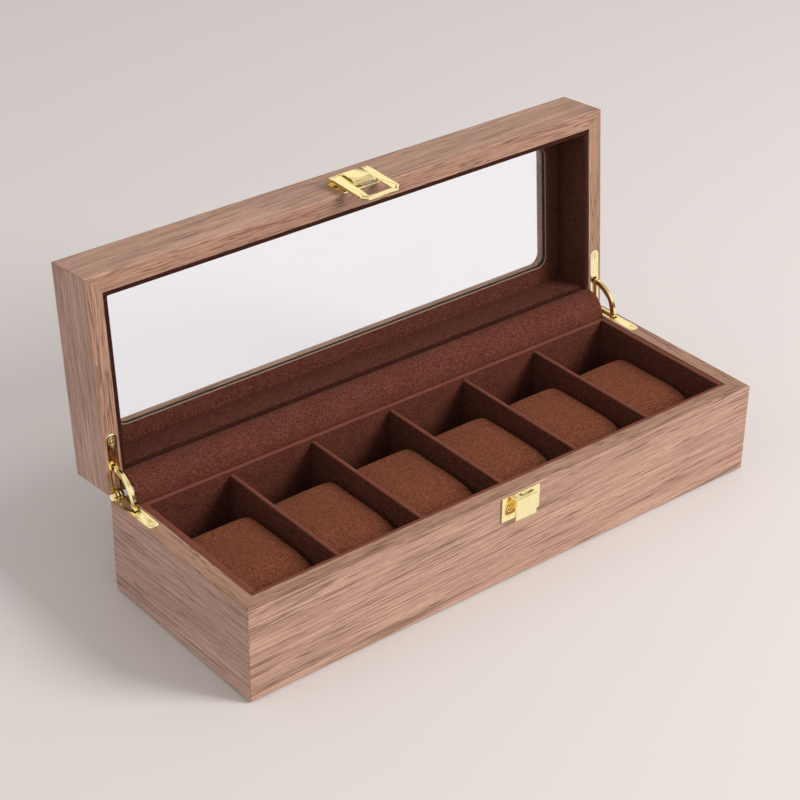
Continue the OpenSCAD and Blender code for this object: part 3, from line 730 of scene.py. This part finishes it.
pillowLook = {
    "grid": 0.0021,          # size of the squares that the cloth is worked out on
    "shrink": 0.0010,        # how much smaller the pad starts than the space it fills
    "cornerRound": 0.0070,   # seen from above
    "edgeRound": 0.0042,     # along the top edges
    "crown": 0.0009,
    "frontFall": 0.0042,     # how far the front end of the top drops
    "fallLength": 0.017,
    "waveScale": 70,         # unevenness of the filling
    "waveWide": 0.004,       # as a share of the width
    "waveHigh": 0.0002,
    "waveStep": 3.1,         # keeps the waves of two pillows apart
    "swell": 0.0013,         # the most that the cloth may move
    "swellFrames": 20,
    "cloth": {               # Blender's names for the cloth's stiffness and the pressure inside
        "quality": 5,
        "mass": 0.2,
        "use_pressure": True,
        "uniform_pressure_force": 1.4,
        "tension_stiffness": 12,
        "compression_stiffness": 12,
        "shear_stiffness": 5,
        "bending_stiffness": 0.4,
    },
    "fill": 0.9,
}


def pillowStart(name, low, high, seed):
    # a closed pad on an even grid, round at its corners and top edges
    look = pillowLook
    low = low + Vector((look["shrink"],) * 2 + (0,))
    high = high - Vector((look["shrink"],) * 3)
    size = high - low
    middle = (low + high) / 2
    shape = bmesh.new()
    counts = [round(size[axis] / look["grid"]) for axis in range(3)]
    corners = {}

    def corner(i, j, k):
        if (i, j, k) not in corners:
            corners[i, j, k] = shape.verts.new([
                (index / count - 0.5) * side for index, count, side in zip((i, j, k), counts, size)])
        return corners[i, j, k]

    def skin(axis, level, outward):
        first, second = [other for other in range(3) if other != axis]
        for i in range(counts[first]):
            for j in range(counts[second]):
                loop = []
                for di, dj in ((0, 0), (1, 0), (1, 1), (0, 1)):
                    index = [0, 0, 0]
                    index[axis], index[first], index[second] = level, i + di, j + dj
                    loop.append(corner(*index))
                shape.faces.new(loop if outward else loop[::-1])

    for axis in range(3):
        skin(axis, 0, axis == 1)
        skin(axis, counts[axis], axis != 1)
    bmesh.ops.recalc_face_normals(shape, faces=shape.faces)
    halfX, halfY, halfZ = size / 2
    for vertex in shape.verts:
        x, y, z = vertex.co
        dx = max(abs(x) - (halfX - look["cornerRound"]), 0)
        dy = max(abs(y) - (halfY - look["cornerRound"]), 0)
        reach = math.hypot(dx, dy)
        limit = max(dx, dy)
        if dx > 0 and dy > 0:
            # squares of the corner pulled onto a quarter circle
            x -= math.copysign(dx * (1 - limit / reach), x)
            y -= math.copysign(dy * (1 - limit / reach), y)
            inset = look["cornerRound"] - limit
        else:
            inset = min(halfX - abs(x), halfY - abs(y))
        down = max(look["edgeRound"] - inset, 0)
        top = halfZ - (look["edgeRound"] - math.sqrt(max(look["edgeRound"] ** 2 - down ** 2, 0)))
        top -= look["crown"] * ((x / halfX) ** 2 + (y / halfY) ** 2) / 2
        fall = max(1 - (y + halfY) / look["fallLength"], 0)
        top -= look["frontFall"] * fall * fall
        share = (z + halfZ) / size.z
        z = -halfZ + share * (top + halfZ)
        wave = noise.noise(Vector((x, y, z)) * look["waveScale"] + Vector((seed * look["waveStep"], seed, 0)))
        x *= 1 + look["waveWide"] * wave
        z += look["waveHigh"] * wave * share
        vertex.co = (x, y, z)
    mesh = bpy.data.meshes.new(name)
    shape.to_mesh(mesh)
    shape.free()
    mesh.transform(Matrix.Translation(middle))
    return mesh


def swell(thing):
    # the pad's cloth under a little pressure from inside
    look = pillowLook
    before = np.array([vertex.co for vertex in thing.data.vertices])
    cloth = thing.modifiers.new("cloth", "CLOTH")
    for setting, value in look["cloth"].items():
        setattr(cloth.settings, setting, value)
    cloth.settings.effector_weights.gravity = 0
    cloth.point_cache.frame_start = 1
    cloth.point_cache.frame_end = look["swellFrames"]
    for step in range(1, look["swellFrames"] + 1):
        bpy.context.scene.frame_set(step)
    graph = bpy.context.evaluated_depsgraph_get()
    after = np.array([vertex.co for vertex in thing.evaluated_get(graph).data.vertices])
    thing.modifiers.clear()
    bpy.context.scene.frame_set(1)
    move = after - before
    length = np.linalg.norm(move, axis=1, keepdims=True)
    move *= look["swell"] / np.maximum(length, look["swell"])
    thing.data.vertices.foreach_set("co", (before + move).ravel())
    thing.data.update()


print("stage: pillows")
for index, name in enumerate(nodesOf("pillow")):
    low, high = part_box(name)
    pillow = addObject("pillowPad_" + name[-1], pillowStart(name, low, high, index + 1.0))
    pillow.data.materials.append(pillowSuede)
    swell(pillow)
    soft = pillow.modifiers.new("soft", "SUBSURF")
    soft.levels = soft.render_levels = 1
    plainMesh(pillow)
    pillow.data.shade_smooth()
    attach(pillow, name)
    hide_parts(name)

easedLook = {
    "edge": 0.00012,
    "steps": 2,
    "angle": 28.0,          # degrees past which an edge is rounded
    "flat": 0.8,            # and below which two facets are one
    "merge": 0.000002,      # corners closer than this are one
    "sliver": 0.000001,     # edges shorter than this are closed up after the rounding
}


def eased(name):
    # a copy of a solid with its corners joined and its edges rounded
    look = easedLook
    shape = bmesh.new()
    shape.from_mesh(cadNodes[name].data)
    bmesh.ops.remove_doubles(shape, verts=shape.verts, dist=look["merge"])
    bmesh.ops.dissolve_limit(
        shape, angle_limit=math.radians(look["flat"]), verts=shape.verts, edges=shape.edges)
    mesh = bpy.data.meshes.new(name)
    shape.to_mesh(mesh)
    shape.free()
    thing = addObject("eased" + name.title().replace("_", ""), mesh)
    bevel = thing.modifiers.new("edge", "BEVEL")
    bevel.width = look["edge"]
    bevel.segments = look["steps"]
    bevel.limit_method = "ANGLE"
    bevel.angle_limit = math.radians(look["angle"])
    bevel.use_clamp_overlap = True
    plainMesh(thing)
    shape = bmesh.new()
    shape.from_mesh(thing.data)
    bmesh.ops.dissolve_degenerate(shape, dist=look["sliver"], edges=shape.edges)
    shape.to_mesh(thing.data)
    shape.free()
    return smooth(thing, look["angle"])


print("stage: brass")
pressed = nodesOf("clasp_plate", "hasp", "hinge_base_leaf", "hinge_lid_leaf", "keeper", "stay")
pressed.remove("keeper_screws")
for name in pressed:
    piece = eased(name)
    isSpring = name == "hasp_spring"
    piece.data.materials.clear()
    piece.data.materials.append(springMetal if isSpring else brightBrass)
    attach(piece, cadNodes[name]["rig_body"])
    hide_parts(name)

screwLook = {
    "headRadius": 0.00187,
    "neckRadius": 0.0009,
    "headDepth": 0.0007,
    "dome": 0.00013,         # how far the middle of a head stands proud
    "domeShare": 0.97,       # of the head's radius
    "domeSink": 0.003 * mm,  # a touch of overlap and turn keeps edges from falling together
    "domeTurn": 0.03,
    "sides": 40,
    "rings": 14,
    "slotWidth": 0.00052,
    "slotLength": 0.0023,
    "slotDepth": 0.0006,
    "crossDepth": 1.02,      # the second slot's depth against the first's
    "smooth": 30,            # degrees
}


def screwTree():
    # a countersunk head with a crossed slot at each point, facing the way of the point's "aim";
    # it is cut in millimetres, because sizes this small in metres spoil a boolean
    look = screwLook
    tree, size = newGeometry("screws", {
        "Head Radius": look["headRadius"], "Neck Radius": look["neckRadius"], "Head Depth": look["headDepth"],
        "Dome": look["dome"], "Slot Width": look["slotWidth"], "Slot Length": look["slotLength"],
        "Slot Depth": look["slotDepth"]})
    wide, neck, deep, dome, slotWide, slotLong, slotDeep = [size[name] / mm for name in (
        "Head Radius", "Neck Radius", "Head Depth", "Dome", "Slot Width", "Slot Length", "Slot Depth")]
    cone = tree.add("GeometryNodeMeshCone", {"fill_type": "NGON"}, {
        "Vertices": look["sides"], "Radius Top": wide, "Radius Bottom": neck, "Depth": deep})
    down = tree.add("ShaderNodeCombineXYZ", {}, {"Z": -deep})
    cone = tree.add("GeometryNodeTransform", {}, {"Geometry": cone, "Translation": down})
    ball = tree.add("GeometryNodeMeshUVSphere", {}, {
        "Segments": look["sides"], "Rings": look["rings"], "Radius": wide * look["domeShare"]})
    flat = tree.add("ShaderNodeCombineXYZ", {}, {"X": 1.0, "Y": 1.0, "Z": dome / wide})
    ball = tree.add("GeometryNodeTransform", {}, {
        "Geometry": ball, "Scale": flat, "Rotation": (0, 0, look["domeTurn"]),
        "Translation": (0, 0, -look["domeSink"] / mm)})
    head = tree.add("GeometryNodeMeshBoolean", {"operation": "UNION", "solver": "EXACT"}, {1: [cone, ball]})
    firstSlot = tree.add("ShaderNodeCombineXYZ", {}, {"X": slotLong, "Y": slotWide, "Z": slotDeep})
    crossSlot = tree.add("ShaderNodeCombineXYZ", {}, {
        "X": slotWide, "Y": slotLong, "Z": slotDeep * look["crossDepth"]})
    slots = [tree.add("GeometryNodeMeshCube", {}, {"Size": shape}) for shape in (firstSlot, crossSlot)]
    head = tree.add("GeometryNodeMeshBoolean", {"operation": "DIFFERENCE", "solver": "EXACT"},
                    {0: head, 1: slots})
    aim = tree.add("GeometryNodeInputNamedAttribute", {"data_type": "FLOAT_VECTOR"}, {"Name": "aim"})
    turn = tree.add("FunctionNodeAlignRotationToVector", {"axis": "Z"}, {"Vector": aim})
    heads = tree.add("GeometryNodeInstanceOnPoints", {}, {
        "Points": size["Start"], "Instance": head, "Rotation": turn, "Scale": (mm, mm, mm)})
    return endGeometry(tree, heads, brightBrass)


def screwPlaces(points, axis, outward):
    # where two screws lie, one on each side of x = 0, and the way that their heads face
    found = []
    for side in (-1, 1):
        half = points[points[:, 0] * side > 0]
        spot = Vector((half.min(0) + half.max(0)) / 2)
        spot[axis] = half[:, axis].max() if outward > 0 else half[:, axis].min()
        aim = Vector((0, 0, 0))
        aim[axis] = outward
        found.append((spot, aim))
    return found


print("stage: screws")
screws = screwTree()
basePlaces = screwPlaces(pointsOf("hinge_base_screws"), 2, 1) + screwPlaces(pointsOf("keeper_screws"), 1, -1)
lidPlaces = [
    (openTurn @ spot, openTurn.to_3x3() @ aim)
    for spot, aim in screwPlaces(pointsOf("hinge_lid_screws", shutTurn), 2, -1)
    + screwPlaces(pointsOf("clasp_screws", shutTurn), 1, -1)]
for body, nodes, places in (
        ("base", ["hinge_base_screws", "keeper_screws"], basePlaces),
        ("lid", ["hinge_lid_screws", "clasp_screws"], lidPlaces)):
    points = bpy.data.meshes.new(body + "ScrewPoints")
    points.from_pydata([spot for spot, aim in places], [], [])
    aims = points.attributes.new("aim", "FLOAT_VECTOR", "POINT")
    aims.data.foreach_set("vector", np.array([aim for spot, aim in places], np.float32).ravel())
    heads = grow(body + "Screws", screws, {}, start=points)
    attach(smooth(heads, screwLook["smooth"]), body)
    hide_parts(*nodes)

windowLook = {
    "glassLap": 0.005,       # how far the glass reaches past the window
    "corner": 0.006,
    "cornerSteps": 12,
    "cardInset": 0.00025,
    "cardRadius": 0.00034,
    "cardUp": 0.0004,        # from the underside of the window's frame
    "beadInset": 0.00085,
    "beadRadius": 0.00030,
    "sides": 8,
    "smooth": 60,            # degrees
}


def beadTree(material):
    # a round bead along the edge of a window with round corners
    look = windowLook
    tree, size = newGeometry("windowBead", {
        "Width": 0.27, "Depth": 0.07, "Corner": look["corner"], "Radius": look["beadRadius"]})
    edge = tree.add("GeometryNodeCurvePrimitiveQuadrilateral", {"mode": "RECTANGLE"},
                    {"Width": size["Width"], "Height": size["Depth"]})
    edge = tree.add("GeometryNodeFilletCurve", {"mode": "POLY"}, {
        "Curve": edge, "Radius": size["Corner"], "Count": look["cornerSteps"], "Limit Radius": True})
    section = tree.add("GeometryNodeCurvePrimitiveCircle", {}, {
        "Resolution": look["sides"], "Radius": size["Radius"]})
    bead = tree.add("GeometryNodeCurveToMesh", {}, {"Curve": edge, "Profile Curve": section})
    return endGeometry(tree, bead, material)


print("stage: edge of the window")
glassLow, glassHigh = shutBox("lid_glass")
frameLow = shutBox("lid_window_frame")[0]
glassMiddle = (glassLow + glassHigh) / 2
for name, material, inset, radius, level in (
        ("windowCard", paleCard, windowLook["cardInset"], windowLook["cardRadius"],
         frameLow.z + windowLook["cardUp"]),
        ("windowBead", darkBead, windowLook["beadInset"], windowLook["beadRadius"], glassLow.z)):
    bead = grow(name, beadTree(material), {
        "Width": glassHigh.x - glassLow.x - 2 * (windowLook["glassLap"] + inset),
        "Depth": glassHigh.y - glassLow.y - 2 * (windowLook["glassLap"] + inset),
        "Corner": windowLook["corner"] - inset, "Radius": radius})
    moved(bead, openTurn @ Matrix.Translation((glassMiddle.x, glassMiddle.y, level)))
    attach(smooth(bead, windowLook["smooth"]), "lid")

print("stage: floor, light and camera")
floorLook = {
    "size": 12.0,
    "colour": (0.720, 0.682, 0.668),
    "glow": (1.0, 0.97, 1.0),       # how the floor looks through the window
    "throughShare": 0.95,
    "mirrorShare": 0.85,            # and in polished metal
}
floorMesh = bpy.data.meshes.new("floor")
half = floorLook["size"] / 2
floorMesh.from_pydata(
    [(-half, -half, 0), (half, -half, 0), (half, half, 0), (-half, half, 0)], [], [(0, 1, 2, 3)])
floor = addObject("floor", floorMesh)
floorMaterial, floorTree = newMaterial("paleFloor")
plain = floorTree.add("ShaderNodeBsdfPrincipled", {}, {
    "Base Color": (*floorLook["colour"], 1), "Roughness": 0.9, "Specular IOR Level": 0.1})
glow = floorTree.add("ShaderNodeEmission", {}, {"Color": (*floorLook["glow"], 1), "Strength": 1.0})
isThrough = floorTree.add("ShaderNodeLightPath", {}, {}, "Is Transmission Ray")
isShine = floorTree.add("ShaderNodeLightPath", {}, {}, "Is Glossy Ray")
glowShare = isThrough * floorLook["throughShare"] + isShine * floorLook["mirrorShare"]
seen = floorTree.add("ShaderNodeMixShader", {}, {0: glowShare.smallest(1.0), 1: plain, 2: glow})
floorTree.add("ShaderNodeOutputMaterial", {}, {"Surface": seen})
floor.data.materials.append(floorMaterial)

skyLook = {
    "colour": (1.0, 0.975, 0.955),
    "strength": 0.57,
    # what polished metal mirrors, from the horizon up: each height has its colour
    "mirrored": [
        (0.0, (0.16, 0.09, 0.04)),
        (0.22, (0.16, 0.09, 0.04)),
        (0.36, (1.08, 1.03, 0.96)),
        (0.62, (1.08, 1.03, 0.96)),
        (0.74, (0.5, 0.45, 0.38)),
        (1.0, (1.08, 1.03, 0.96)),
    ],
}
world = bpy.data.worlds.new("studio")
world.use_nodes = True
world.node_tree.nodes.clear()
skyTree = Tree(world.node_tree)
plainSky = skyTree.add("ShaderNodeBackground", {}, {
    "Color": (*skyLook["colour"], 1), "Strength": skyLook["strength"]})
skyWay = skyTree.add("ShaderNodeTexCoord", {}, {}, "Generated")
skyHeight = skyTree.add("ShaderNodeSeparateXYZ", {}, {"Vector": skyWay}, 2)
shine = skyTree.add("ShaderNodeValToRGB", {"stops": skyLook["mirrored"]}, {"Fac": skyHeight})
shinySky = skyTree.add("ShaderNodeBackground", {}, {"Color": shine, "Strength": 1.0})
isMirrored = skyTree.add("ShaderNodeLightPath", {}, {}, "Is Glossy Ray")
sky = skyTree.add("ShaderNodeMixShader", {}, {0: isMirrored, 1: plainSky, 2: shinySky})
skyTree.add("ShaderNodeOutputWorld", {}, {"Surface": sky})
bpy.context.scene.world = world

lampLook = {
    "keyLight": {"place": (1.05, -1.40, 1.15), "size": 0.9, "power": 38.0, "colour": (1.0, 0.985, 0.97)},
    "sideLight": {"place": (-1.4, 0.3, 1.0), "size": 1.0, "power": 2.5, "colour": (1.0, 0.92, 0.82)},
}
for name, look in lampLook.items():
    light = bpy.data.lights.new(name, "AREA")
    light.shape = "DISK"
    light.size = look["size"]
    light.energy = look["power"]
    light.color = look["colour"]
    lamp = addObject(name, light)
    lamp.location = look["place"]
    lamp.visible_glossy = False      # the sky alone is mirrored, so nothing glitters
    lamp.visible_transmission = False
    aim = (cadLow + cadHigh) / 2 - Vector(look["place"])
    lamp.rotation_euler = aim.to_track_quat("-Z", "Y").to_euler()

view = {
    "place": (-0.58353, -0.67788, 0.61065),
    "heading": 39.258,      # degrees from +Y towards +X
    "down": 30.961,
    "roll": 0.786,
    "focal": 2123.96,       # in pixels of an 800-pixel frame
    "frame": 800,
    "sensor": 36.0,
}
cameraData = bpy.data.cameras.new("camera")
cameraData.sensor_width = view["sensor"]
cameraData.lens = view["focal"] / view["frame"] * view["sensor"]
camera = addObject("camera", cameraData)
camera.matrix_world = (
    Matrix.Translation(view["place"])
    @ Matrix.Rotation(math.radians(-view["heading"]), 4, "Z")
    @ Matrix.Rotation(math.radians(90 - view["down"]), 4, "X")
    @ Matrix.Rotation(math.radians(view["roll"]), 4, "Z"))
bpy.context.scene.camera = camera
bpy.context.scene.view_settings.view_transform = "Standard"

print("stage: done")
